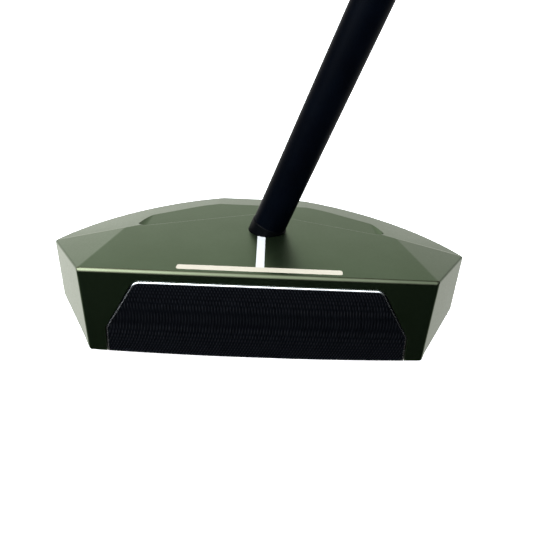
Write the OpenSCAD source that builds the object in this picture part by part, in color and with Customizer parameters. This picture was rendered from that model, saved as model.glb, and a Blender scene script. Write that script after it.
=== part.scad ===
// Mallet putter: a milled mallet head with a black face insert, white sighting
// inlays and screw-in sole weights, on a straight tapered shaft with a paddle grip.
// Millimetres. The origin is on the sole's flat pad, on the head's centre plane.
// +X points to the heel, -Y out of the face, +Z up.

/* [Head] */
// Height from the sole to the top plate
head_h = 24.8; // [23:0.1:27]
// Half width of the face along its top edge
face_half_w = 44.4; // [43:0.1:46]
// Distance of the face's top edge in front of the origin
face_front = 25; // [24:0.5:26]
// Loft of the face in degrees
face_loft = 3; // [1:0.5:4]
// Half width at the widest corners
wide_half_w = 57.2; // [55:0.1:60]
// Distance of the widest corners behind the face's top edge
wide_back = 21.9; // [20:0.1:24]
// Half width of the flat tail
tail_half_w = 13; // [11:0.5:15]
// How far the rear curve runs straight back from the widest corner
rear_bend_back = 15.9; // [14:0.1:18]
// How far it draws inward over that run
rear_bend_in = 9.1; // [8:0.1:10]
// How far it runs out sideways from the tail's corner
tail_bend_out = 17.8; // [16:0.1:20]
// How far it comes forward over that run
tail_bend_front = 5.5; // [4:0.1:7]
// Distance of the tail behind the face's top edge
tail_back = 56.4; // [54:0.1:60]
// Drop from the top plate to the shoulder, where the side walls begin
shoulder_drop = 4.15; // [3:0.05:5]
// Radius of the sole's camber from heel to toe
sole_r = 1000; // [800:50:1500]
// Half width of the flat pad under the middle of the sole
sole_flat_half_w = 10; // [8:1:14]

/* [Top plate] */
// Half width of the top plate where it starts to narrow
plate_half_w = 37.7; // [36:0.1:40]
// Distance of that corner behind the face's top edge
plate_back = 23.3; // [22:0.1:25]
// Half width of the top plate's rear edge
plate_tail_half_w = 14; // [12:0.5:16]
// Distance of the top plate's rear edge behind the face's top edge
plate_tail_back = 36.8; // [35:0.1:39]
// Half width of the shallow rear pocket at its front corners
pocket_half_w = 35.2; // [34:0.1:35.3]
// Half width of the pocket where its ends run out
pocket_back_half_w = 33.8; // [33:0.1:34]
// Depth of the rear pocket
pocket_depth = 2; // [1:0.1:3]

/* [Face insert] */
// Half width at the sole
insert_sole_half_w = 39.0; // [38.8:0.1:40]
// Half width at the knee, where the sides start to slant
insert_knee_half_w = 38.8; // [37.5:0.1:38.8]
// Height of the knee
insert_knee_z = 7.9; // [7:0.1:11]
// Half width along the top edge
insert_top_half_w = 30.9; // [29:0.1:32]
// Height of the top edge
insert_top_z = 21.75; // [20:0.05:22]
// Radius of the two top corners
insert_corner_r = 2.8; // [1:0.1:4]
// Thickness of the insert
insert_depth = 5; // [4:0.1:6]
// Thickness of the damping membrane behind it
membrane_depth = 0.8; // [0.5:0.1:1.2]

/* [Sighting inlays] */
// Half width of the bar behind the face
bar_half_w = 20.7; // [18:0.1:24]
// Distance from the face's top edge to the bar
bar_front = 1.8; // [1.5:0.1:3]
// Width of the bar from front to back
bar_w = 2.35; // [2:0.05:3]
// Width of the sight line
line_w = 2.2; // [1.5:0.1:3]
// Depth of both inlays
inlay_depth = 0.5; // [0.3:0.05:0.8]

/* [Sole weights] */
// Radius of each weight
weight_r = 4.5; // [4:0.1:5]
// Length of each weight
weight_len = 8; // [6:0.5:9]
// Radius of the arc they stand on
weight_arc_r = 55.5; // [55:0.1:56]
// Distance of that arc's centre in front of the face's top edge
weight_arc_front = 8.8; // [8.6:0.1:9]
// Angle from the heel side to the first weight
weight_start = 30; // [29:0.5:32]
// Width across flats of the hexagon socket in each weight
weight_socket = 4; // [3:0.5:5]

/* [Shaft] */
// Where the shaft's axis meets the top plate, from the centre plane
shaft_x = 1.5; // [0:0.1:3]
// The same point, behind the face's top edge
shaft_back = 25.7; // [25:0.1:27]
// Lie angle in degrees
shaft_lie = 69.5; // [69:0.5:72]
// Backward lean in degrees
shaft_lean = 1.1; // [0:0.1:2]
// Radius of the tip
tip_r = 4.7; // [4.6:0.05:4.8]
// Growth of the radius for each millimetre of length
shaft_taper = 0.0035; // [0.003:0.0001:0.004]
// Thickness of the tube's wall
shaft_wall = 0.5; // [0.4:0.05:0.8]
// Length of the club along the shaft, from the sole to the end of the grip
club_len = 864; // [838:1:889]
// Length of shaft held in the head
socket_depth = 19; // [15:0.5:20]
// Height of the ferrule above the top plate, along the shaft
ferrule_h = 1.9; // [1.5:0.1:5]
// Outside radius of the ferrule
ferrule_r = 4.95; // [4.9:0.05:5.2]

/* [Grip] */
// Length of the grip
grip_len = 267; // [250:1:280]
// Radius of the grip's section at its lower end
grip_low_r = 12.2; // [12:0.1:13]
// Radius of the grip's section at its top
grip_top_r = 15; // [14.5:0.1:16]
// Radius of the lip where the grip meets the shaft
grip_lip_r = 9.6; // [9.5:0.1:10]
// Length of the tapered nose above the lip
grip_nose_len = 12; // [10:1:15]
// Distance of the flat front from the axis, as a share of the radius
grip_flat = 0.8; // [0.75:0.01:0.9]
// Thickness of the outer skin
grip_skin_t = 1.5; // [1:0.1:2]
// Thickness of the end cap
cap_t = 3; // [2:0.1:4]

/* [Hidden] */

// Four weights stand on each side, one node each
weights_per_side = 4;
face_y = -face_front;
shoulder_z = head_h - shoulder_drop;
// Clearances left for adhesive
insert_gap = 0.1;
epoxy_gap = 0.1;
weight_gap = 0.05;
ferrule_gap = 0.02;
// How far the ferrule reaches into the head
ferrule_seat = 3;
// How far each weight sits below the sole's surface
weight_recess = 0.2;
socket_len = 3.5;
plug_len = 8;
tape_t = 0.2;
vent_r = 1.5;
cap_edge = 1.2;
// Length of cutting shapes that only have to reach past the part
reach = 200;
// How far a cut starts outside the surface that it opens
past = 1;
// Thickness of the thin slices that the grip's hull joins
slice = 0.01;
curve_steps = 16;
arc_steps = 8;
round_fn = 96;
camber_fn = 720;
section_fn = 48;

// Distances along the shaft's axis, from the top plate
club_end = club_len - head_h / sin(shaft_lie);
shaft_end = club_end - cap_t;
grip_start = club_end - grip_len;

function flip(points) =
    [for (i = [len(points) - 1 : -1 : 0]) [-points[i][0], points[i][1]]];
function bezier(a, b, c, d, t) =
    pow(1 - t, 3) * a + 3 * pow(1 - t, 2) * t * b + 3 * (1 - t) * t * t * c + pow(t, 3) * d;
function unit(v) = v / norm(v);
// Points of the arc that rounds the corner b between a and c to radius r
function fillet(a, b, c, r) =
    let (u = unit(a - b), v = unit(c - b), half = acos(u * v) / 2,
         centre = b + unit(u + v) * r / sin(half),
         p = b + u * r / tan(half) - centre, q = b + v * r / tan(half) - centre,
         turn = atan2(p[0] * q[1] - p[1] * q[0], p * q))
    [for (i = [0 : arc_steps]) let (k = turn * i / arc_steps)
        centre + [p[0] * cos(k) - p[1] * sin(k), p[0] * sin(k) + p[1] * cos(k)]];
function sole_z(x) = max(0, (x * x - sole_flat_half_w * sole_flat_half_w) / (2 * sole_r));

// ---- Head -----------------------------------------------------------------

// Half outline below the shoulder: face, widest corner, then a curve to the tail
side_slope = (wide_half_w - face_half_w) / wide_back;
lead = head_h * tan(face_loft) + past;
wide_corner = [wide_half_w, face_y + wide_back];
tail_corner = [tail_half_w, face_y + tail_back];
half_outline = concat(
    [[face_half_w - side_slope * lead, face_y - lead]],
    [for (i = [0 : curve_steps])
        bezier(wide_corner, wide_corner + [-rear_bend_in, rear_bend_back],
               tail_corner + [tail_bend_out, -tail_bend_front], tail_corner,
               i / curve_steps)]);
half_plate = [
    [face_half_w, face_y],
    [plate_half_w, face_y + plate_back],
    [plate_tail_half_w, face_y + plate_tail_back]
];
// The V-shaped ridge in front of the pocket runs from the plate's slanted edges to
// the middle of its rear edge
pocket_front = face_y + plate_back + (plate_half_w - pocket_half_w)
    * (plate_tail_back - plate_back) / (plate_half_w - plate_tail_half_w);

// The outer shape before anything is cut: side walls, sloping facets and top plate
module head_blank() {
    hull() {
        linear_extrude(shoulder_z) polygon(concat(half_outline, flip(half_outline)));
        linear_extrude(head_h) polygon(concat(half_plate, flip(half_plate)));
    }
}

// Everything above the cambered sole and behind the lofted face
module head_limits() {
    intersection() {
        translate([0, 0, sole_r - sole_flat_half_w * sole_flat_half_w / (2 * sole_r)])
            rotate([90, 0, 0]) cylinder(h = reach, r = sole_r, center = true, $fn = camber_fn);
        translate([-reach / 2, face_y, head_h]) rotate([-face_loft, 0, 0])
            translate([0, 0, -reach / 2]) cube([reach, reach, reach]);
        translate([-reach / 2, -reach / 2, 0]) cube([reach, reach, reach]);
    }
}

module rear_pocket() {
    translate([0, 0, head_h - pocket_depth]) linear_extrude(pocket_depth + past)
        polygon([
            [0, face_y + plate_tail_back], [pocket_half_w, pocket_front],
            [pocket_back_half_w, face_y + plate_tail_back], [pocket_back_half_w, reach],
            [-pocket_back_half_w, reach], [-pocket_back_half_w, face_y + plate_tail_back],
            [-pocket_half_w, pocket_front]
        ]);
}

// Places its children in the face plane: x across, y up the face, z out of it
module on_face() {
    translate([0, face_y, head_h]) rotate([90 - face_loft, 0, 0]) translate([0, -head_h, 0])
        children();
}

insert_sole_corner = [insert_sole_half_w, -past];
insert_knee = [insert_knee_half_w, insert_knee_z];
insert_top_corner = [insert_top_half_w, insert_top_z];
half_insert = concat(
    [insert_sole_corner, insert_knee],
    fillet(insert_knee, insert_top_corner, [0, insert_top_z], insert_corner_r));

module insert_outline() polygon(concat(half_insert, flip(half_insert)));

module insert_recess() {
    on_face() translate([0, 0, -insert_depth - membrane_depth])
        linear_extrude(insert_depth + membrane_depth + reach)
            offset(delta = insert_gap) insert_outline();
}

// The weights are evenly spaced all round the arc, from heel to toe
weight_step = (180 - 2 * weight_start) / (2 * weights_per_side - 1);
function weight_angle(i) = weight_start + weight_step * i;
function weight_pos(side, i) = [
    side * weight_arc_r * cos(weight_angle(i)),
    face_y - weight_arc_front + weight_arc_r * sin(weight_angle(i))
];

module at_weight(side, i) {
    p = weight_pos(side, i);
    translate([p[0], p[1], sole_z(p[0]) + weight_recess]) children();
}

module bar_shape(depth) {
    translate([-bar_half_w, face_y + bar_front, head_h - depth])
        cube([2 * bar_half_w, bar_w, depth]);
}

// The line runs from the bar to the ferrule
module line_shape(depth) {
    difference() {
        translate([-line_w / 2, face_y + bar_front + bar_w, head_h - depth])
            cube([line_w, shaft_back - bar_front - bar_w, depth]);
        along_shaft(-ferrule_seat) cylinder(h = 3 * ferrule_seat, r = ferrule_r, $fn = round_fn);
    }
}

module head_body() {
    color([0.30, 0.37, 0.27]) difference() {
        intersection() {
            head_blank();
            head_limits();
        }
        rear_pocket();
        insert_recess();
        bar_shape(inlay_depth);
        line_shape(inlay_depth);
        along_shaft(-socket_depth - past)
            cylinder(h = socket_depth + ferrule_h, r = tip_r + epoxy_gap, $fn = round_fn);
        along_shaft(-ferrule_seat)
            cylinder(h = 3 * ferrule_seat, r = ferrule_r + ferrule_gap, $fn = round_fn);
        for (side = [-1, 1], i = [0 : weights_per_side - 1])
            at_weight(side, i) translate([0, 0, -weight_recess - past])
                cylinder(h = weight_len + weight_recess + past, r = weight_r + weight_gap,
                         $fn = round_fn);
    }
}

module face_insert() {
    color([0.10, 0.10, 0.13]) intersection() {
        on_face() translate([0, 0, -insert_depth]) linear_extrude(insert_depth) insert_outline();
        head_limits();
    }
}

module insert_membrane() {
    color([0.15, 0.15, 0.15]) intersection() {
        on_face() translate([0, 0, -insert_depth - membrane_depth])
            linear_extrude(membrane_depth) insert_outline();
        head_limits();
    }
}

module alignment_bar() color("white") bar_shape(inlay_depth);

module alignment_line() color("white") line_shape(inlay_depth);

// A round weight with a hexagon socket in its outer end
module sole_weight(side, i) {
    color([0.75, 0.75, 0.77]) at_weight(side, i) difference() {
        cylinder(h = weight_len, r = weight_r, $fn = round_fn);
        translate([0, 0, -past])
            cylinder(h = socket_len + past, r = weight_socket / 2 / cos(30), $fn = 6);
    }
}

// ---- Shaft ----------------------------------------------------------------

// Places its children with z along the shaft's axis, s above the top plate
module along_shaft(s) {
    translate([shaft_x, face_y + shaft_back, head_h]) rotate([-shaft_lean, 0, 0])
        rotate([0, 90 - shaft_lie, 0]) translate([0, 0, s]) children();
}

function shaft_r(s) = tip_r + shaft_taper * max(0, s);

// A tapered solid whose surface stands `extra` outside the shaft's, from s1 to s2
module shaft_solid(s1, s2, extra) {
    along_shaft(s1)
        cylinder(h = s2 - s1, r1 = shaft_r(s1) + extra, r2 = shaft_r(s2) + extra, $fn = round_fn);
}

module shaft() {
    color([0.06, 0.07, 0.09]) difference() {
        union() {
            shaft_solid(-socket_depth, 0, 0);
            shaft_solid(0, shaft_end, 0);
        }
        shaft_solid(-socket_depth - past, 0, -shaft_wall);
        shaft_solid(0, shaft_end + past, -shaft_wall);
    }
}

// Adhesive between the tip and its socket, below the ferrule
module shaft_epoxy() {
    color([0.8, 0.75, 0.5]) difference() {
        shaft_solid(-socket_depth - past, -ferrule_seat, epoxy_gap);
        shaft_solid(-socket_depth, 0, 0);
    }
}

// Keeps adhesive out of the tube
module tip_plug() {
    color([0.7, 0.2, 0.2]) shaft_solid(-socket_depth, -socket_depth + plug_len, -shaft_wall);
}

// A collar whose lower part sits in the head
module ferrule() {
    color([0.03, 0.03, 0.03]) difference() {
        along_shaft(-ferrule_seat)
            cylinder(h = ferrule_seat + ferrule_h, r = ferrule_r, $fn = round_fn);
        shaft_solid(-ferrule_seat - past, 0, 0);
        shaft_solid(0, ferrule_h + past, 0);
    }
}

// ---- Grip -----------------------------------------------------------------

// Round section with a flat front, where the thumbs lie
module grip_section(r) {
    intersection() {
        circle(r = r, $fn = section_fn);
        translate([-grip_flat * r, -r]) square(2 * r);
    }
}

// The grip's outer shape, inset by t all round
module grip_shape(t, s2) {
    hull() {
        along_shaft(grip_start) linear_extrude(slice) circle(r = grip_lip_r - t, $fn = section_fn);
        along_shaft(grip_start + grip_nose_len) linear_extrude(slice)
            grip_section(grip_low_r - t);
        along_shaft(s2 - slice) linear_extrude(slice) grip_section(grip_top_r - t);
    }
}

module grip_tape() {
    color([0.9, 0.88, 0.8]) difference() {
        shaft_solid(grip_start, shaft_end, tape_t);
        shaft_solid(grip_start - past, shaft_end + past, 0);
    }
}

module grip_underlisting() {
    color([0.35, 0.35, 0.36]) difference() {
        grip_shape(grip_skin_t, shaft_end);
        shaft_solid(grip_start - past, shaft_end + past, tape_t);
    }
}

module grip_skin() {
    color([0.08, 0.08, 0.09]) difference() {
        grip_shape(0, shaft_end);
        grip_shape(grip_skin_t, shaft_end);
        shaft_solid(grip_start - past, shaft_end, tape_t);
    }
}

// Closes the butt, with a vent hole and a bevelled rim
module grip_cap() {
    color([0.05, 0.05, 0.05]) difference() {
        hull() {
            along_shaft(shaft_end) linear_extrude(cap_t - cap_edge) grip_section(grip_top_r);
            along_shaft(shaft_end) linear_extrude(cap_t) grip_section(grip_top_r - cap_edge);
        }
        along_shaft(shaft_end - past) cylinder(h = cap_t + 2 * past, r = vent_r, $fn = round_fn);
    }
}

head_body();
face_insert();
insert_membrane();
alignment_bar();
alignment_line();
sole_weight(1, 0);  // weight_heel_1
sole_weight(1, 1);  // weight_heel_2
sole_weight(1, 2);  // weight_heel_3
sole_weight(1, 3);  // weight_heel_4
sole_weight(-1, 0);  // weight_toe_1
sole_weight(-1, 1);  // weight_toe_2
sole_weight(-1, 2);  // weight_toe_3
sole_weight(-1, 3);  // weight_toe_4
ferrule();
shaft();
shaft_epoxy();
tip_plug();
grip_tape();
grip_underlisting();
grip_skin();
grip_cap();
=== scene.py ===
import math

import bmesh
import bpy
from mathutils import Matrix, Quaternion, Vector
from mathutils.geometry import intersect_point_line


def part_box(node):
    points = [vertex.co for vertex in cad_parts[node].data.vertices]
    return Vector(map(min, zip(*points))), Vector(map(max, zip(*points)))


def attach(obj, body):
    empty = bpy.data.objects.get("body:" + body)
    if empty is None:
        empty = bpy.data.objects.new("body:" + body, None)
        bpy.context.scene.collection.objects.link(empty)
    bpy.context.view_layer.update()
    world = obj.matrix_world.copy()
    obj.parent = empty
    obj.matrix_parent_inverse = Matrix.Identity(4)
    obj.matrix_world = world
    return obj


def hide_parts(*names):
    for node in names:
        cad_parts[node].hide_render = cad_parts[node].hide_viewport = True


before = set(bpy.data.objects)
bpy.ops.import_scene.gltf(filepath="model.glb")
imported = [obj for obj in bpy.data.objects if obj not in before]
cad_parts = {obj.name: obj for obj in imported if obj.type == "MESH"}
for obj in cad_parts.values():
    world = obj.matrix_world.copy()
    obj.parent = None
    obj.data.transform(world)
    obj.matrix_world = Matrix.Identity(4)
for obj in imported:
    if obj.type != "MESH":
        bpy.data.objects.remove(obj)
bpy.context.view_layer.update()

# The shapes are worked out in millimetres and scaled to metres at the end.
MM = 0.001


def node_box(node):
    """A CAD node's lowest and highest corners in millimetres."""
    low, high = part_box(node)
    return low / MM, high / MM


# ---- Driving dimensions, read from the frame where it holds them -------------------

head_low, head_high = node_box("head_body")
HEAD_H = head_high.z
WIDE_HALF_W = head_high.x
TAIL_Y = head_high.y
bar_low, bar_high = node_box("alignment_bar")
line_low, line_high = node_box("alignment_line")

FACE_LOFT = math.radians(3)
FACE_Y = head_low.y + HEAD_H * math.tan(FACE_LOFT)
FACE_HALF_W = 44.4
WIDE_Y = FACE_Y + 21.9
TAIL_HALF_W = 13.0
SHOULDER_Z = HEAD_H - 4.15
PLATE = [(FACE_HALF_W, FACE_Y), (37.7, FACE_Y + 23.3), (14.0, FACE_Y + 36.8)]
SOLE_R = 1000.0
SOLE_FLAT = 10.0
# How far the outline's curve leaves the widest corner and the tail's corner
WIDE_BEND = Vector((-9.1, 15.9))
TAIL_BEND = Vector((17.8, -5.5))

# Radii of the head's outer edges
TOP_EDGE_R = 0.9
PLATE_EDGE_R = 0.3
CREASE_R = 0.2
WALL_EDGE_R = 0.45
FACE_SOLE_EDGE_R = 0.6
SOLE_EDGE_R = 1.8

POCKET_HALF_W = 35.2
POCKET_BACK_HALF_W = 33.8
POCKET_DEPTH = 2.0
POCKET_CORNER_R = 2.0
POCKET_FOOT_R = 1.7
POCKET_RIM_R = 0.8

INSERT_KNEE = (38.8, 7.9)
INSERT_SOLE_HALF_W = 39.0
INSERT_TOP = (30.9, 21.75)
INSERT_CORNER_R = 2.8
INSERT_DEPTH = 5.0
RECESS_DEPTH = INSERT_DEPTH + 0.8
INSERT_GAP = 0.18
INSERT_CHAMFER = 0.5

WEIGHT_R = 4.5
WEIGHT_LEN = 8.0
WEIGHT_GAP = 0.05
SOCKET_HALF_FLATS = 2.0
SOCKET_LEN = 3.5

SHAFT_BASE = Vector((1.5, FACE_Y + 25.7, HEAD_H))
LIE = math.radians(69.5)
LEAN = math.radians(1.1)
TIP_R = 4.7
TAPER = 0.0035
FERRULE_R = 4.95
FERRULE_SEAT = 3.0
FERRULE_H = 1.9
SHAFT_WALL = 0.5
SHAFT_TIP = -19.0
BAR_END_R = 0.7
CAP_T = 3.0
CLUB_END = 864 - HEAD_H / math.sin(LIE)
SHAFT_END = CLUB_END - CAP_T
GRIP_START = CLUB_END - 267
GRIP_LIP_R = 9.6
GRIP_LOW_R = 12.2
GRIP_TOP_R = 15.0
GRIP_NOSE = 12.0
GRIP_FLAT = 0.8
GRIP_SKIN_T = 1.5
# Keeps the round grip inside the CAD's faceted one
GRIP_INSIDE = 0.09
VENT_R = 1.5


# ---- Mesh helpers ------------------------------------------------------------------

def new_object(name, bm):
    """An object that holds the bmesh, linked to the scene."""
    bmesh.ops.recalc_face_normals(bm, faces=bm.faces)
    mesh = bpy.data.meshes.new(name)
    bm.to_mesh(mesh)
    bm.free()
    obj = bpy.data.objects.new(name, mesh)
    bpy.context.scene.collection.objects.link(obj)
    return obj


def apply_modifiers(obj):
    """Replaces the object's mesh with what its modifiers make of it."""
    graph = bpy.context.evaluated_depsgraph_get()
    mesh = bpy.data.meshes.new_from_object(obj.evaluated_get(graph))
    obj.modifiers.clear()
    obj.data = mesh


def mirrored(points):
    """Half an outline, followed by its mirror image in reverse order."""
    return list(points) + [(-x, y) for x, y in reversed(points)]


def prism(name, outline, low, high):
    """A closed prism over an outline in the XY plane."""
    bm = bmesh.new()
    base = [bm.verts.new((x, y, low)) for x, y in outline]
    top = [bm.verts.new((x, y, high)) for x, y in outline]
    bm.faces.new(base[::-1])
    bm.faces.new(top)
    for i in range(len(outline)):
        j = (i + 1) % len(outline)
        bm.faces.new((base[i], base[j], top[j], top[i]))
    return new_object(name, bm)


def loft(name, rings, tube=False):
    """A closed solid through rings that have the same number of points each. Its ends
    are filled, or with tube the last ring joins the first."""
    bm = bmesh.new()
    loops = [[bm.verts.new(point) for point in ring] for ring in rings]
    pairs = list(zip(loops, loops[1:]))
    if tube:
        pairs.append((loops[-1], loops[0]))
    else:
        bm.faces.new(loops[0])
        bm.faces.new(loops[-1])
    for a, b in pairs:
        for k in range(len(a)):
            n = (k + 1) % len(a)
            bm.faces.new((a[k], a[n], b[n], b[k]))
    return new_object(name, bm)


def lathe(name, profile, segments=96):
    """A solid of revolution about Z. profile is a list of (radius, height), and a
    radius of 0 closes an end."""
    bm = bmesh.new()
    rings = []
    for radius, height in profile:
        if radius == 0:
            rings.append([bm.verts.new((0, 0, height))])
        else:
            angles = [2 * math.pi * k / segments for k in range(segments)]
            rings.append([bm.verts.new((radius * math.cos(a), radius * math.sin(a), height))
                          for a in angles])
    pairs = list(zip(rings, rings[1:]))
    if len(rings[0]) > 1:
        pairs.append((rings[-1], rings[0]))
    for a, b in pairs:
        for k in range(segments):
            n = (k + 1) % segments
            corners = [a[k % len(a)], a[n % len(a)], b[n % len(b)], b[k % len(b)]]
            unique = list(dict.fromkeys(corners))
            if len(unique) > 2:
                bm.faces.new(unique)
    return new_object(name, bm)


def moved_outline(points, distance):
    """A closed outline with each edge moved outward (or inward, if negative)."""
    area = sum(a[0] * b[1] - b[0] * a[1] for a, b in zip(points, points[1:] + points[:1]))
    turn = 1 if area > 0 else -1
    moved = []
    for i, (x, y) in enumerate(points):
        before = Vector((x, y)) - Vector(points[i - 1])
        after = Vector(points[(i + 1) % len(points)]) - Vector((x, y))
        out_a = Vector((before.y, -before.x)).normalized() * turn
        out_b = Vector((after.y, -after.x)).normalized() * turn
        step = (out_a + out_b) * distance / (1 + out_a.dot(out_b))
        moved.append((x + step.x, y + step.y))
    return moved


def boolean(obj, cutter):
    """Cuts obj with cutter, which is then removed."""
    step = obj.modifiers.new("cut", "BOOLEAN")
    step.operation = "DIFFERENCE"
    step.solver = "EXACT"
    step.object = cutter
    apply_modifiers(obj)
    bpy.data.objects.remove(cutter)


def bevel_by_rule(obj, width, segments, rule):
    """Rounds edges. rule takes an edge's middle and its angle, and returns its radius."""
    bm = bmesh.new()
    bm.from_mesh(obj.data)
    layer = bm.edges.layers.float.new("bevel_weight_edge")
    for edge in bm.edges:
        middle = (edge.verts[0].co + edge.verts[1].co) / 2
        edge[layer] = rule(middle, math.degrees(edge.calc_face_angle())) / width
    bm.to_mesh(obj.data)
    bm.free()
    step = obj.modifiers.new("round", "BEVEL")
    step.limit_method = "WEIGHT"
    step.width = width
    step.segments = segments
    step.use_clamp_overlap = False
    apply_modifiers(obj)


def shade(obj, angle=8):
    """Smooth shading that keeps flat faces flat and edges above the angle sharp."""
    obj.data.shade_smooth()
    obj.data.set_sharp_from_angle(angle=math.radians(angle))
    step = obj.modifiers.new("normals", "WEIGHTED_NORMAL")
    step.keep_sharp = True
    step.weight = 100
    apply_modifiers(obj)


def piece(obj, nodes, materials):
    """Scales a finished piece to metres and puts it in the place of CAD nodes."""
    obj.data.transform(Matrix.Scale(MM, 4))
    for material in materials:
        obj.data.materials.append(material)
    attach(obj, "root")
    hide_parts(*nodes)
    return obj


# ---- Head outline ------------------------------------------------------------------

def bezier(a, b, c, d, t):
    """A point of a cubic curve."""
    s = 1 - t
    return a * s ** 3 + b * 3 * s * s * t + c * 3 * s * t * t + d * t ** 3


def rear_curve(steps=28):
    """Half of the curved outline, from the widest corner to the tail's corner."""
    wide = Vector((WIDE_HALF_W, WIDE_Y))
    tail = Vector((TAIL_HALF_W, TAIL_Y))
    return [bezier(wide, wide + WIDE_BEND, tail + TAIL_BEND, tail, i / steps)
            for i in range(steps + 1)]


def sole_z(x):
    """Height of the cambered sole at x."""
    return max(0.0, (x * x - SOLE_FLAT ** 2) / (2 * SOLE_R))


def fillet(a, b, c, radius, steps=8):
    """The arc that rounds corner b between points a and c."""
    a, b, c = Vector(a), Vector(b), Vector(c)
    u, v = (a - b).normalized(), (c - b).normalized()
    half = u.angle(v) / 2
    centre = b + (u + v).normalized() * radius / math.sin(half)
    start = b + u * radius / math.tan(half) - centre
    end = b + v * radius / math.tan(half) - centre
    turn = math.atan2(start.x * end.y - start.y * end.x, start.dot(end))
    points = []
    for i in range(steps + 1):
        points.append(centre + Matrix.Rotation(turn * i / steps, 2) @ start)
    return points


# ---- Places ------------------------------------------------------------------------

ON_FACE = (Matrix.Translation((0, FACE_Y, HEAD_H))
           @ Matrix.Rotation(math.radians(90) - FACE_LOFT, 4, "X")
           @ Matrix.Translation((0, -HEAD_H, 0)))
ON_SHAFT = (Matrix.Translation(SHAFT_BASE) @ Matrix.Rotation(-LEAN, 4, "X")
            @ Matrix.Rotation(math.radians(90) - LIE, 4, "Y"))


def insert_half_w(v, inset):
    """Half width of the insert's outline at height v up the face, moved in by inset."""
    knee_x, knee_v = INSERT_KNEE
    top_x, top_v = INSERT_TOP
    slant = Vector((top_x - knee_x, top_v - knee_v)).normalized()
    radius = INSERT_CORNER_R - inset
    centre_v = top_v - inset - radius
    tangent_v = centre_v + radius * -slant.x

    def slanted(height):
        return knee_x + (height - knee_v) * slant.x / slant.y - inset / slant.y

    straight = INSERT_SOLE_HALF_W + (knee_x - INSERT_SOLE_HALF_W) * v / knee_v - inset
    if v < tangent_v:
        return min(straight, slanted(v))
    centre_x = slanted(tangent_v) - radius * slant.y
    return centre_x + math.sqrt(max(0.0, radius ** 2 - (v - centre_v) ** 2))


def insert_rows(inset, bottom, straight_rows, corner_rows):
    """Heights of the insert's rows from the sole to the top, closest round the corner."""
    slant = Vector((INSERT_TOP[0] - INSERT_KNEE[0], INSERT_TOP[1] - INSERT_KNEE[1])).normalized()
    radius = INSERT_CORNER_R - inset
    centre_v = INSERT_TOP[1] - inset - radius
    start = math.asin(-slant.x)
    tangent_v = centre_v + radius * math.sin(start)
    knee_rows = round(straight_rows * INSERT_KNEE[1] / tangent_v)
    rows = [bottom + (INSERT_KNEE[1] - bottom) * i / knee_rows for i in range(knee_rows)]
    slant_rows = straight_rows - knee_rows
    rows += [INSERT_KNEE[1] + (tangent_v - INSERT_KNEE[1]) * i / slant_rows
             for i in range(slant_rows)]
    rows += [centre_v + radius * math.sin(start + (math.pi / 2 - start) * i / corner_rows)
             for i in range(corner_rows + 1)]
    return rows


# ---- Head --------------------------------------------------------------------------

def front_y(x, z):
    """Where the head begins at x and height z: on the face or, beside it, on the side wall."""
    slope = (WIDE_Y - FACE_Y) / (WIDE_HALF_W - FACE_HALF_W)
    return max(FACE_Y - (HEAD_H - z) * math.tan(FACE_LOFT), FACE_Y + (abs(x) - FACE_HALF_W) * slope)


def crease_distance(point):
    """Distance from the crease between the side facet and the rear one."""
    folded = Vector((abs(point.x), point.y, point.z))
    plate_corner = Vector((*PLATE[1], HEAD_H))
    wide_corner = Vector((WIDE_HALF_W, WIDE_Y, SHOULDER_Z))
    return (folded - intersect_point_line(folded, plate_corner, wide_corner)[0]).length


def head_blank():
    """The head before anything is cut, with its outer edges rounded."""
    corner_x = FACE_HALF_W - HEAD_H * math.tan(FACE_LOFT) * (
        (WIDE_HALF_W - FACE_HALF_W) / (WIDE_Y - FACE_Y))
    inner = [(SOLE_FLAT, TAIL_Y), (SOLE_FLAT / 2, TAIL_Y)]
    bm = bmesh.new()
    for side in (-1, 1):
        for x, y in PLATE:
            bm.verts.new((side * x, y, HEAD_H))
        for x, y in rear_curve():
            bm.verts.new((side * x, y, SHOULDER_Z))
        for x, y in rear_curve() + inner:
            bm.verts.new((side * x, y, sole_z(x)))
            bm.verts.new((side * x, front_y(x, sole_z(x)), sole_z(x)))
        bm.verts.new((side * corner_x, front_y(corner_x, sole_z(corner_x)), sole_z(corner_x)))
    bmesh.ops.remove_doubles(bm, verts=bm.verts, dist=0.001)
    bmesh.ops.convex_hull(bm, input=bm.verts)
    bmesh.ops.dissolve_limit(bm, angle_limit=math.radians(0.03), verts=bm.verts, edges=bm.edges)
    blank = new_object("head_body_visual", bm)

    flat_enough, near_sole, steps = 6, 0.3, 14

    def radius(middle, angle):
        """Radius of an edge. Edges within the curved wall stay as they are."""
        on_face = middle.y < FACE_Y + 0.2
        if crease_distance(middle) < 0.01:
            return CREASE_R
        if angle < flat_enough:
            return 0
        if middle.z > HEAD_H - 0.01:
            return TOP_EDGE_R if on_face else PLATE_EDGE_R
        if middle.z < sole_z(middle.x) + near_sole:
            return FACE_SOLE_EDGE_R if on_face else SOLE_EDGE_R
        return WALL_EDGE_R

    bevel_by_rule(blank, SOLE_EDGE_R, steps, radius)
    return blank


def bar_outline(inset):
    """The sighting bar, rounded at its ends and moved in by inset."""
    low, high = bar_low + Vector((inset,) * 3), bar_high - Vector((inset,) * 3)
    corner_r = BAR_END_R - inset
    right = fillet((0, low.y), (high.x, low.y), (high.x, high.y), corner_r)
    right += fillet((high.x, low.y), (high.x, high.y), (0, high.y), corner_r)
    return mirrored([tuple(p) for p in right])


def inlay_outline():
    """The T that the bar and the line make together."""
    right = bar_outline(0)[:len(bar_outline(0)) // 2]
    return mirrored(right + [(line_high.x, bar_high.y), (line_high.x, SHAFT_BASE.y)])


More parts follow.
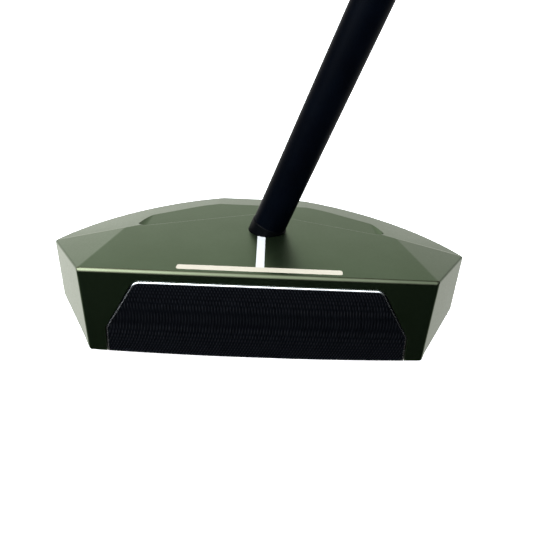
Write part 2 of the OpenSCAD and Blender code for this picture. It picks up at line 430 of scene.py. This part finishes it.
def shaft_cutter(name, radius, low, high):
    """A cylinder along the shaft's axis."""
    cutter = lathe(name, [(0, low), (radius, low), (radius, high), (0, high)])
    cutter.data.transform(ON_SHAFT)
    return cutter


def weight_centres():
    """Name and centre of each sole weight, from the frame."""
    centres = {}
    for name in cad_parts:
        if name.startswith("weight_"):
            low, high = node_box(name)
            centres[name] = Vector(((low.x + high.x) / 2, (low.y + high.y) / 2, low.z))
    return centres


def pocket_cutter():
    """The shallow rear pocket: a filleted foot and a rounded rim."""
    knee, tail = PLATE[1:]
    front = knee[1] + (knee[0] - POCKET_HALF_W) * (tail[1] - knee[1]) / (knee[0] - tail[0])
    middle = (0, tail[1])
    back = (POCKET_BACK_HALF_W, tail[1])
    corner = [tuple(p) for p in fillet(middle, (POCKET_HALF_W, front), back, POCKET_CORNER_R)]
    half = corner + [back, (POCKET_BACK_HALF_W, TAIL_Y + 5)]
    outline = [middle] + half + [(-x, y) for x, y in reversed(half)]
    floor_z = HEAD_H - POCKET_DEPTH
    steps = 12
    foot, rim = [], []
    for i in range(steps + 1):
        angle = math.radians(90) * i / steps
        foot.append((POCKET_FOOT_R * (math.sin(angle) - 1),
                     floor_z + POCKET_FOOT_R * (1 - math.cos(angle))))
        rim.append((POCKET_RIM_R * (1 - math.cos(angle)),
                    HEAD_H - POCKET_RIM_R * (1 - math.sin(angle))))
    rings = foot + rim + [(POCKET_RIM_R, HEAD_H + 1)]
    return loft("pocket", [[(x, y, z) for x, y in moved_outline(outline, distance)]
                           for distance, z in rings])


def recess_cutter():
    """The insert's recess, open at the sole, with its edge on the face just broken."""
    edge, above, below_sole = 0.1, 1.0, -3.0
    straight_rows, corner_rows = 12, 10
    rings = []
    for inset, z in ((-INSERT_GAP, -RECESS_DEPTH), (-INSERT_GAP, -edge),
                     (-INSERT_GAP - edge - above, above)):
        rows = insert_rows(inset, below_sole, straight_rows, corner_rows)
        rings.append([(x, v, z) for x, v in mirrored([(insert_half_w(v, inset), v)
                                                      for v in rows])])
    cutter = loft("recess", rings)
    cutter.data.transform(ON_FACE)
    return cutter


def build_head(metal, front_highlight, crease_highlight):
    """The milled head. Its front top edge and the creases between facets carry painted highlights:
    a lighter colour where the light catches them.
    """
    head = head_blank()
    boolean(head, pocket_cutter())
    boolean(head, recess_cutter())
    boolean(head, prism("inlay", inlay_outline(), bar_low.z, HEAD_H + 5))
    boolean(head, shaft_cutter("bore", FERRULE_R + 0.03, -FERRULE_SEAT, 20))
    edge, below = 0.25, 3.0
    hole_r = WEIGHT_R + WEIGHT_GAP
    for name, centre in weight_centres().items():
        mouth = sole_z(centre.x) - centre.z + edge
        hole = lathe(name + "_hole", [(0, -below), (hole_r + below + mouth, -below),
                                      (hole_r, mouth), (hole_r, WEIGHT_LEN), (0, WEIGHT_LEN)], 64)
        hole.data.transform(Matrix.Translation(centre))
        boolean(head, hole)
    shade(head)

    # Painted highlights: the rounding of the front top edge and the creases between facets get
    # lighter materials than the rest of the head.
    for face in head.data.polygons:
        tilted = 0.1 < face.normal.z < 0.99 and face.normal.y < -0.1
        on_top_edge = face.center.y < FACE_Y + TOP_EDGE_R and face.center.z > HEAD_H - TOP_EDGE_R
        if tilted and on_top_edge:
            face.material_index = 1
        elif crease_distance(face.center) < CREASE_R:
            face.material_index = 2
    return piece(head, ["head_body"], [metal, front_highlight, crease_highlight])


# ---- Face insert -------------------------------------------------------------------

MILL_PITCH = 0.78
MILL_R = 19.0
MILL_CENTRE_V = 11.5
MILL_DEPTH = 0.08


def mill_crest(x, v):
    """Height, from 0 to 1, of the fly-cut arcs that cross where the cutter went by twice."""
    bow = math.sqrt(MILL_R ** 2 - (v - MILL_CENTRE_V) ** 2)
    leading = 0.5 + 0.5 * math.cos(2 * math.pi * (x - bow) / MILL_PITCH)
    trailing = 0.5 + 0.5 * math.cos(2 * math.pi * (x + bow) / MILL_PITCH)
    return 0.65 * leading + 0.35 * trailing


def build_insert(black, bare):
    """The milled insert, with fly-cut arcs and a bare rounded edge. The bare band covers the whole
    rounding along the top and round its corners, but down the sides and along the bottom only its
    inner part, the rest painted black as shade where the light doesn't catch the edge.
    """
    columns, straight_rows, corner_rows = 780, 70, 12
    edge_steps, side_highlight_steps = 5, 2
    margin = 0.02

    def grid(inset):
        rows = insert_rows(inset, inset, straight_rows, corner_rows)
        return [[(insert_half_w(v, inset) * (2 * j / columns - 1), v)
                 for j in range(columns + 1)] for v in rows]

    def place(x, v, out):
        """A point of the insert: v is stretched so that its bottom follows the sole."""
        bottom = HEAD_H + (sole_z(x) - HEAD_H - out * math.sin(FACE_LOFT)) / math.cos(FACE_LOFT)
        return (x, v + (bottom + margin) * (1 - v / INSERT_TOP[1]), out)

    flat = grid(INSERT_CHAMFER)
    last_row, last_column = len(flat) - 1, columns
    bm = bmesh.new()
    crest = bm.verts.layers.float.new("crest")
    front = []
    for i, row in enumerate(flat):
        front.append([])
        for j, (x, v) in enumerate(row):
            fade = min(1, i, last_row - i, j / 3, (last_column - j) / 3)
            height = mill_crest(x, v)
            vert = bm.verts.new(place(x, v, -MILL_DEPTH * fade * (1 - height)))
            vert[crest] = height * fade
            front[-1].append(vert)
    for i in range(last_row):
        for j in range(last_column):
            bm.faces.new((front[i][j], front[i][j + 1], front[i + 1][j + 1], front[i + 1][j]))
    rim = ([(0, j) for j in range(last_column)]
           + [(i, last_column) for i in range(last_row)]
           + [(last_row, j) for j in range(last_column, 0, -1)]
           + [(i, 0) for i in range(last_row, 0, -1)])
    loops = [[front[i][j] for i, j in rim]]
    for step in range(1, edge_steps + 1):
        angle = math.radians(90) * step / edge_steps
        outline = grid(INSERT_CHAMFER * (1 - math.sin(angle)))
        out = -INSERT_CHAMFER * (1 - math.cos(angle))
        loops.append([bm.verts.new(place(*outline[i][j], out)) for i, j in rim])
    loops.append([bm.verts.new(place(*outline[i][j], -INSERT_DEPTH)) for i, j in rim])
    for level, (near, far) in enumerate(zip(loops, loops[1:])):
        for k in range(len(rim)):
            n = (k + 1) % len(rim)
            face = bm.faces.new((near[k], far[k], far[n], near[n]))
            # Painted light: the outer levels of the rounding are bare and bright along the top and
            # round its corners, but black as shade down the sides and along the bottom.
            bare_highlight_levels = edge_steps if rim[k][0] > straight_rows else side_highlight_steps
            face.material_index = 1 if level < bare_highlight_levels else 0
    bm.faces.new(loops[-1])
    for loop in (loops[0], loops[-1]):
        for k in range(len(rim)):
            bm.edges.get((loop[k - 1], loop[k])).smooth = False
    insert = new_object("face_insert_visual", bm)
    insert.data.transform(ON_FACE)
    insert.data.shade_smooth()
    return piece(insert, ["face_insert"], [black, bare])


# ---- Inlays, ferrule and weights ---------------------------------------------------

def build_inlays(cream, white):
    """Two paint fills, a hair below the top plate."""
    level = HEAD_H - 0.04
    half_line = line_high.x - 0.02
    line = prism("alignment_line_visual", [(-half_line, bar_high.y), (half_line, bar_high.y),
                                           (half_line, SHAFT_BASE.y), (-half_line, SHAFT_BASE.y)],
                 bar_low.z, level)
    boolean(line, shaft_cutter("around_ferrule", FERRULE_R + 0.02, -FERRULE_SEAT, 20))
    shade(line)
    piece(line, ["alignment_line"], [white])
    bar = prism("alignment_bar_visual", bar_outline(0.02), bar_low.z, level)
    shade(bar)
    piece(bar, ["alignment_bar"], [cream])


def build_ferrule(gloss):
    """The collar, with a rounded upper rim."""
    rim, steps = 0.25, 6
    bore_r = TIP_R + 0.01
    profile = [(bore_r, -FERRULE_SEAT), (FERRULE_R, -FERRULE_SEAT), (FERRULE_R, 0)]
    for i in range(steps + 1):
        angle = math.radians(90) * i / steps
        profile.append((FERRULE_R - rim * (1 - math.cos(angle)),
                        FERRULE_H - rim * (1 - math.sin(angle))))
    profile.append((bore_r, FERRULE_H))
    ferrule = lathe("ferrule_visual", profile)
    ferrule.data.transform(ON_SHAFT)
    shade(ferrule, 30)
    return piece(ferrule, ["ferrule"], [gloss])


def build_weights(steel):
    """The sole weights, each with a ring groove, a chamfer and a hexagon socket."""
    edge, groove = 0.35, 0.15
    groove_out, groove_middle, groove_in = (WEIGHT_R - inset for inset in (0.7, 0.9, 1.1))
    socket_r = SOCKET_HALF_FLATS / math.cos(math.radians(30))
    for name, centre in weight_centres().items():
        profile = [(0, 0.0), (groove_in, 0.0), (groove_middle, groove),
                   (groove_out, 0.0), (WEIGHT_R - edge, 0.0), (WEIGHT_R, edge),
                   (WEIGHT_R, WEIGHT_LEN), (0, WEIGHT_LEN)]
        weight = lathe(name + "_visual", profile, 72)
        socket = lathe("socket", [(0, -1), (socket_r + 1 + groove, -1), (socket_r, groove),
                                  (socket_r, SOCKET_LEN), (0, SOCKET_LEN)], 6)
        boolean(weight, socket)
        weight.data.transform(Matrix.Translation(centre))
        shade(weight, 30)
        piece(weight, [name], [steel])


# ---- Shaft and grip ----------------------------------------------------------------

def shaft_r(s):
    """Radius of the shaft at s above the top plate."""
    return TIP_R + TAPER * max(0.0, s)


def build_shaft(satin):
    """The hollow shaft: straight up to the top plate and then tapered."""
    steps = 24
    stations = [SHAFT_TIP, 0.0] + [SHAFT_END * i / steps for i in range(1, steps + 1)]
    profile = [(shaft_r(s), s) for s in stations]
    profile += [(shaft_r(s) - SHAFT_WALL, s) for s in reversed(stations)]
    shaft = lathe("shaft_visual", profile, 128)
    shaft.data.transform(ON_SHAFT)
    shade(shaft, 30)
    return piece(shaft, ["shaft"], [satin])


def smooth(value, start, end):
    """Runs smoothly from 0 at start to 1 at end."""
    t = min(1.0, max(0.0, (value - start) / (end - start)))
    return t * t * (3 - 2 * t)


GRIP_COLUMNS = 192
CORNER_POWER = 16
DIAMONDS = 20
DIAMOND_LEN = 8.0
DIAMOND_DEPTH = 0.35
RIB_PITCH = 5.0
RIB_DEPTH = 0.25
BORDER_DEPTH = 0.3


def section(s, radius, flat, depth=lambda angle: 0.0):
    """A ring round the shaft's axis: a circle with a flat front whose edges are rounded."""
    ring = []
    for k in range(GRIP_COLUMNS):
        angle = 2 * math.pi * k / GRIP_COLUMNS
        toward_flat = max(0.0, -math.cos(angle)) / flat
        reach = (radius ** -CORNER_POWER + toward_flat ** CORNER_POWER) ** (-1 / CORNER_POWER)
        reach -= depth(angle)
        ring.append((reach * math.cos(angle), reach * math.sin(angle), s))
    return ring


def grip_size(s, inset=0.0):
    """Radius and flat distance of the grip's section at s."""
    rise = s - GRIP_START
    nose = smooth(rise, 0, GRIP_NOSE)
    along = max(0.0, (rise - GRIP_NOSE) / (SHAFT_END - GRIP_START - GRIP_NOSE))
    body_r = GRIP_LOW_R + (GRIP_TOP_R - GRIP_LOW_R) * along
    radius = GRIP_LIP_R + (body_r - GRIP_LIP_R) * nose
    flat = GRIP_LIP_R + (GRIP_FLAT * body_r - GRIP_LIP_R) * nose
    return radius - GRIP_INSIDE - inset, flat - inset


def grip_depth(s):
    """The moulded pattern at s: diamonds round the back and ribs across the flat front."""
    plain_low, plain_high, fade = 22.0, 14.0, 3.0
    diamonds_end, diamonds_gone = 0.60, 0.72
    ribs_start, ribs_full = 0.86, 0.91
    rise, left = s - GRIP_START, SHAFT_END - s
    ends = smooth(rise, plain_low, plain_low + fade) * smooth(left, plain_high, plain_high + fade)
    border = max(smooth(1 - abs(rise - plain_low + fade), 0, 1),
                 smooth(1 - abs(left - plain_high + fade), 0, 1))
    turn = 2 * math.pi * s / DIAMOND_LEN
    rib = smooth(math.cos(2 * math.pi * s / RIB_PITCH), 0.3, 1)

    def depth(angle):
        front = -math.cos(angle)
        groove = max(math.cos(DIAMONDS * angle + turn), math.cos(DIAMONDS * angle - turn))
        off_front = 1 - smooth(front, diamonds_end, diamonds_gone)
        back_cut = DIAMOND_DEPTH * smooth(groove, 0.6, 1) * off_front
        front_cut = RIB_DEPTH * rib * smooth(front, ribs_start, ribs_full)
        return ends * (back_cut + front_cut) + BORDER_DEPTH * border

    return depth


def build_grip(rubber):
    """The grip's outer layer: a rounded lip, the moulded pattern and a hollow inside."""
    lip, lip_steps, step = 0.5, 3, 0.6
    rows = round((SHAFT_END - GRIP_START - lip) / step)
    rings = []
    for i in range(lip_steps + 1):
        angle = math.radians(90) * i / lip_steps
        radius, flat = grip_size(GRIP_START, lip * (1 - math.sin(angle)))
        rings.append(section(GRIP_START + lip * (1 - math.cos(angle)), radius, flat))
    for i in range(1, rows + 1):
        s = GRIP_START + lip + (SHAFT_END - GRIP_START - lip) * i / rows
        rings.append(section(s, *grip_size(s), grip_depth(s)))
    for s in (SHAFT_END, GRIP_START + GRIP_NOSE, GRIP_START):
        rings.append(section(s, *grip_size(s, GRIP_SKIN_T)))
    grip = loft("grip_skin_visual", rings, tube=True)
    grip.data.transform(ON_SHAFT)
    shade(grip, 50)
    return piece(grip, ["grip_skin"], [rubber])


def build_cap(rubber):
    """The end cap: a rounded rim, a ring groove and a vent hole."""
    edge, round_steps = 1.2, 6
    groove_depth, vent_edge = 0.4, 0.3
    groove = ((3.0, 0), (3.3, groove_depth), (4.1, groove_depth), (4.4, 0))
    radius, flat = grip_size(SHAFT_END)
    top = SHAFT_END + CAP_T
    vent_flat = CAP_T * VENT_R      # far enough out that the vent stays round
    rings = [section(SHAFT_END, VENT_R, vent_flat), section(SHAFT_END, radius, flat)]
    for i in range(round_steps + 1):
        angle = math.radians(90) * i / round_steps
        inset = edge * (1 - math.cos(angle))
        rings.append(section(top - edge * (1 - math.sin(angle)), radius - inset, flat - inset))
    for inset, sink in groove:
        rings.append(section(top - sink, radius - inset, flat - inset))
    rings.append(section(top, VENT_R + vent_edge, vent_flat))
    rings.append(section(top - vent_edge, VENT_R, vent_flat))
    cap = loft("grip_cap_visual", rings, tube=True)
    cap.data.transform(ON_SHAFT)
    shade(cap, 35)
    return piece(cap, ["grip_cap"], [rubber])


# ---- Materials ---------------------------------------------------------------------

class Graph:
    """A short way to write a node material."""

    def __init__(self, name):
        self.material = bpy.data.materials.new(name)
        self.material.use_nodes = True
        self.tree = self.material.node_tree
        self.shader = self.tree.nodes["Principled BSDF"]
        self.position = self.node("ShaderNodeTexCoord").outputs["Object"]

    def node(self, kind, inputs=None, **settings):
        node = self.tree.nodes.new(kind)
        for key, value in settings.items():
            setattr(node, key, value)
        for key, value in (inputs or {}).items():
            if isinstance(value, bpy.types.NodeSocket):
                self.tree.links.new(value, node.inputs[key])
            else:
                node.inputs[key].default_value = value
        return node

    def noise(self, size_mm, detail=2.0, stretch=(1, 1, 1)):
        """Noise with features of about size_mm, stretched along each axis."""
        scaled = self.node("ShaderNodeMapping", {
            "Vector": self.position, "Scale": [1 / (s * size_mm * MM) for s in stretch]})
        return self.node("ShaderNodeTexNoise", {
            "Vector": scaled.outputs["Vector"], "Scale": 1.0, "Detail": detail}).outputs["Fac"]

    def ramp(self, fac, low, high, start=0.3, end=0.7):
        """A value that runs from low to high as fac runs from start to end."""
        return self.node("ShaderNodeMapRange", {
            "Value": fac, "From Min": start, "From Max": end,
            "To Min": low, "To Max": high}).outputs["Result"]

    def mix(self, fac, a, b):
        """A colour between a and b."""
        mixer = self.node("ShaderNodeMix", data_type="RGBA")
        for index, value in ((0, fac), (6, a), (7, b)):
            if isinstance(value, bpy.types.NodeSocket):
                self.tree.links.new(value, mixer.inputs[index])
            else:
                mixer.inputs[index].default_value = (*value, 1)
        return mixer.outputs[2]

    def bump(self, height, distance_mm, strength=1.0):
        bump = self.node("ShaderNodeBump", {
            "Height": height, "Distance": distance_mm * MM, "Strength": strength})
        self.tree.links.new(bump.outputs["Normal"], self.shader.inputs["Normal"])

    def set(self, **values):
        for key, value in values.items():
            socket = self.shader.inputs[key.replace("_", " ")]
            if isinstance(value, bpy.types.NodeSocket):
                self.tree.links.new(value, socket)
            else:
                socket.default_value = value
        return self.material


def anodised_green():
    g = Graph("anodised_green")
    colour = g.mix(g.ramp(g.noise(9.0), 0.0, 1.0), (0.061, 0.096, 0.047), (0.067, 0.104, 0.053))
    g.bump(g.noise(0.22, 3.0), 0.012, 0.5)
    return g.set(Base_Color=colour, Metallic=1.0,
                 Roughness=g.ramp(g.noise(0.6), 0.34, 0.38))


def painted_highlight_green(name, at_toe, at_heel):
    """The same finish with a painted highlight: lighter along an edge, changing from at_toe to
    at_heel across the head as the light falls, with faint lighter streaks at random.
    """
    g = Graph(name)
    across = g.node("ShaderNodeSeparateXYZ", {"Vector": g.position}).outputs["X"]
    toward_heel = g.ramp(across, 0.0, 1.0, -FACE_HALF_W * MM, FACE_HALF_W * MM)
    base = g.mix(toward_heel, at_toe, at_heel)
    colour = g.mix(g.ramp(g.noise(1.5, 3.0, (6, 1, 1)), 0.0, 0.12), base, (0.24, 0.26, 0.19))
    g.bump(g.noise(0.22, 3.0), 0.008, 0.4)
    return g.set(Base_Color=colour, Metallic=1.0,
                 Roughness=g.ramp(g.noise(0.6), 0.28, 0.34))


def insert_black():
    """Black anodising, with a painted highlight on the crests of the milling: lighter where the
    light catches the fly-cut arcs.
    """
    g = Graph("insert_black")
    crest = g.node("ShaderNodeAttribute", attribute_name="crest").outputs["Fac"]
    black = g.mix(g.ramp(g.noise(5.0), 0.0, 1.0), (0.030, 0.035, 0.047), (0.038, 0.043, 0.057))
    g.bump(g.noise(0.12, 2.0, (1, 1, 4)), 0.008, 0.4)
    # Painted highlight: the crests of the milling are mixed towards a light grey.
    return g.set(Base_Color=g.mix(g.ramp(crest, 0.0, 1.0, 0.55, 1.0), black, (0.170, 0.176, 0.205)),
                 Metallic=1.0, Roughness=g.ramp(g.noise(0.4), 0.30, 0.40))


def bare_metal():
    g = Graph("bare_metal")
    g.bump(g.noise(0.3, 2.0), 0.004, 0.4)
    colour = g.mix(g.ramp(g.noise(1.0), 0, 1), (0.86, 0.86, 0.86), (0.92, 0.92, 0.91))
    return g.set(Base_Color=colour, Metallic=1.0, Roughness=g.ramp(g.noise(0.3), 0.22, 0.30))


def inlay_paint(name, dark, light):
    g = Graph(name)
    g.bump(g.noise(0.8, 2.0), 0.02, 0.4)
    return g.set(Base_Color=g.mix(g.ramp(g.noise(2.0), 0, 1), dark, light),
                 Roughness=g.ramp(g.noise(0.7), 0.38, 0.48))


def weight_steel():
    g = Graph("weight_steel")
    g.bump(g.noise(0.15, 2.0), 0.01, 0.4)
    colour = g.mix(g.ramp(g.noise(1.5), 0, 1), (0.56, 0.56, 0.57), (0.64, 0.64, 0.65))
    return g.set(Base_Color=colour, Metallic=1.0, Roughness=g.ramp(g.noise(0.5), 0.22, 0.34))


def ferrule_black():
    g = Graph("ferrule_black")
    g.bump(g.noise(0.5, 2.0), 0.006, 0.3)
    colour = g.mix(g.ramp(g.noise(2.0), 0, 1), (0.0006, 0.0008, 0.0012), (0.001, 0.0012, 0.0018))
    return g.set(Base_Color=colour, Roughness=g.ramp(g.noise(1.0), 0.28, 0.36),
                 Specular_IOR_Level=0.04)


def shaft_black():
    g = Graph("shaft_black")
    g.bump(g.noise(0.25, 2.0), 0.006, 0.4)
    colour = g.mix(g.ramp(g.noise(6.0), 0, 1), (0.0002, 0.0005, 0.0014), (0.0003, 0.0008, 0.0021))
    return g.set(Base_Color=colour, Roughness=g.ramp(g.noise(1.2), 0.36, 0.44),
                 Specular_IOR_Level=0.02)


def grip_black(name):
    g = Graph(name)
    g.bump(g.noise(0.35, 3.0), 0.03, 0.6)
    colour = g.mix(g.ramp(g.noise(4.0), 0, 1), (0.010, 0.010, 0.011), (0.016, 0.016, 0.017))
    return g.set(Base_Color=colour, Roughness=g.ramp(g.noise(0.8), 0.52, 0.66),
                 Specular_IOR_Level=0.2)


def plain(name, dark, light, rough):
    """A quiet material for the pieces inside the club."""
    g = Graph(name)
    g.bump(g.noise(0.4, 2.0), 0.02, 0.5)
    return g.set(Base_Color=g.mix(g.ramp(g.noise(2.5), 0, 1), dark, light),
                 Roughness=g.ramp(g.noise(1.0), rough - 0.06, rough + 0.06))


def paint_node(node, material):
    """Gives a carried-over CAD node its material."""
    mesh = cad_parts[node].data
    mesh.materials.clear()
    mesh.materials.append(material)


# ---- Build -------------------------------------------------------------------------

# The head's second and third materials are painted highlights: on the front top edge, lighter
# towards the toe, and on the creases, lighter towards the heel.
build_head(anodised_green(),
           painted_highlight_green("painted_highlight_front", (0.130, 0.142, 0.088), (0.058, 0.067, 0.040)),
           painted_highlight_green("painted_highlight_crease", (0.12, 0.145, 0.10), (0.17, 0.20, 0.145)))
build_insert(insert_black(), bare_metal())
build_inlays(inlay_paint("inlay_cream", (0.475, 0.430, 0.340), (0.495, 0.450, 0.360)),
             inlay_paint("inlay_white", (0.56, 0.56, 0.55), (0.59, 0.59, 0.58)))
build_ferrule(ferrule_black())
build_weights(weight_steel())
build_shaft(shaft_black())
build_grip(grip_black("grip_black"))
build_cap(grip_black("cap_black"))
paint_node("insert_membrane", plain("membrane", (0.012,) * 3, (0.02,) * 3, 0.6))
paint_node("shaft_epoxy", plain("epoxy", (0.5, 0.44, 0.24), (0.58, 0.5, 0.28), 0.3))
paint_node("tip_plug", plain("plug", (0.3, 0.02, 0.015), (0.36, 0.03, 0.02), 0.5))
paint_node("grip_tape", plain("tape", (0.7, 0.64, 0.48), (0.76, 0.7, 0.54), 0.7))
paint_node("grip_underlisting", plain("underlisting", (0.07,) * 3, (0.09,) * 3, 0.8))


# ---- Stage, light and camera -------------------------------------------------------

def stage_material(name, colour, glow):
    g = Graph(name)
    return g.set(Base_Color=(*colour, 1), Roughness=0.9, Emission_Color=(1, 1, 1, 1),
                 Emission_Strength=glow)


def make_floor():
    """A pale floor just under the sole, with a glow of its own. Metal doesn't mirror it:
    it mirrors the studio round it, which the world holds."""
    size, drop = 6.0, 0.0004
    bm = bmesh.new()
    corners = [(-size, -size), (size, -size), (size, size), (-size, size)]
    bm.faces.new([bm.verts.new((x, y, -drop)) for x, y in corners])
    floor = new_object("floor", bm)
    floor.data.materials.append(stage_material("floor", (0.9, 0.9, 0.9), 0.9))
    floor.visible_glossy = False


def make_backdrop():
    """A white dome, seen by the camera only."""
    bm = bmesh.new()
    bmesh.ops.create_icosphere(bm, subdivisions=4, radius=8.0)
    dome = new_object("backdrop", bm)
    dome.data.materials.append(stage_material("backdrop", (0, 0, 0), 1.0))
    dome.visible_glossy = False
    dome.visible_diffuse = False
    dome.visible_shadow = False


def make_world():
    """The studio that the metal mirrors: soft lights in a dark room. Each has a direction,
    the angles where it starts to fade and is gone, a strength and a colour."""
    warm, cool = Vector((1.0, 0.975, 0.94)), Vector((0.93, 1.0, 1.06))
    lights = (
        ((0, 0.86, 0.50), 10, 60, 0.71, warm),       # over the back
        ((0, 1, 0), 5, 50, 0.66, warm),              # level, behind
        ((-0.75, 0.65, 0), 5, 55, 0.70, warm),       # level, behind the toe
        ((-0.62, 0.50, -0.60), 5, 50, 1.42, warm),   # low, behind the toe
        ((0.66, 0.50, -0.50), 5, 50, 1.20, warm),    # low, behind the heel
        ((-0.20, -0.55, 0.80), 10, 60, 3.0, cool),   # overhead, in front
        ((-0.62, -0.40, 0.67), 8, 38, 5.0, cool),    # key, over the toe
    )
    world = bpy.data.worlds.new("studio")
    bpy.context.scene.world = world
    world.use_nodes = True
    tree = world.node_tree
    direction = tree.nodes.new("ShaderNodeTexCoord").outputs["Generated"]
    total = None
    for aim, full, gone, strength, colour in lights:
        dot = tree.nodes.new("ShaderNodeVectorMath")
        dot.operation = "DOT_PRODUCT"
        dot.inputs[1].default_value = Vector(aim).normalized()
        tree.links.new(direction, dot.inputs[0])
        fade = tree.nodes.new("ShaderNodeMapRange")
        fade.interpolation_type = "SMOOTHSTEP"
        fade.inputs["From Min"].default_value = math.cos(math.radians(gone))
        fade.inputs["From Max"].default_value = math.cos(math.radians(full))
        tree.links.new(dot.outputs["Value"], fade.inputs["Value"])
        light = tree.nodes.new("ShaderNodeVectorMath")
        light.operation = "MULTIPLY_ADD"
        light.inputs[1].default_value = colour * strength
        tree.links.new(fade.outputs["Result"], light.inputs[0])
        if total is not None:
            tree.links.new(total, light.inputs[2])
        total = light.outputs["Vector"]
    tree.links.new(total, tree.nodes["Background"].inputs["Color"])


def make_camera():
    data = bpy.data.cameras.new("camera")
    data.sensor_width = 36.0
    data.lens = 37.02
    data.clip_start = 0.01
    camera = bpy.data.objects.new("camera", data)
    bpy.context.scene.collection.objects.link(camera)
    place = Vector((0.00119, -0.14565, 0.09697))
    azimuth, elevation, roll = (math.radians(a) for a in (1.844, -31.221, 3.208))
    forward = Vector((math.sin(azimuth) * math.cos(elevation),
                      math.cos(azimuth) * math.cos(elevation), math.sin(elevation)))
    camera.location = place
    camera.rotation_mode = "QUATERNION"
    camera.rotation_quaternion = (forward.to_track_quat("-Z", "Y")
                                  @ Quaternion((0, 0, 1), roll))
    bpy.context.scene.camera = camera


make_floor()
make_backdrop()
make_world()
make_camera()
scene = bpy.context.scene
scene.view_settings.view_transform = "Standard"
scene.view_settings.look = "None"
